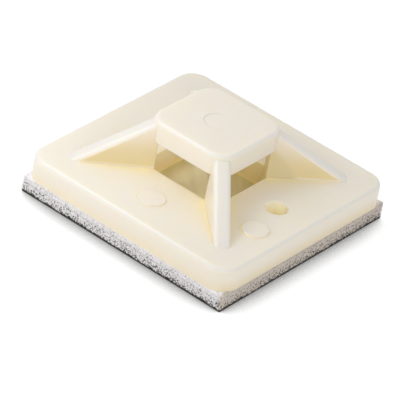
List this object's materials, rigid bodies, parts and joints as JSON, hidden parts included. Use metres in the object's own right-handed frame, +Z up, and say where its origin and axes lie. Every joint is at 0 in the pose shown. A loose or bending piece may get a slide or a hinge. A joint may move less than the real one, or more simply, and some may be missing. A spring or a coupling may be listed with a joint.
{
  "type": "cable tie mount",
  "caption": "Square adhesive-backed base with a raised bridge on corner ribs that a cable tie threads under from any side, and a screw hole beside it.",
  "frame": {"origin": "under the middle of the release liner, on the surface that the mount lies on", "axes": "+Z up, out of the screw hole's mouth; +X from the middle towards the screw hole; X and Y run along the base's sides"},
  "size_m": [0.028, 0.028, 0.0108],
  "materials": {
    "nylon": "natural moulded nylon, satin and slightly translucent",
    "foam": "open-cell foam tape with adhesive on both faces",
    "liner": "dark release film, smooth"
  },
  "bodies": {
    "root": {"mount_body": "nylon", "foam_pad": "foam", "release_liner": "liner"}
  },
  "joints": []
}
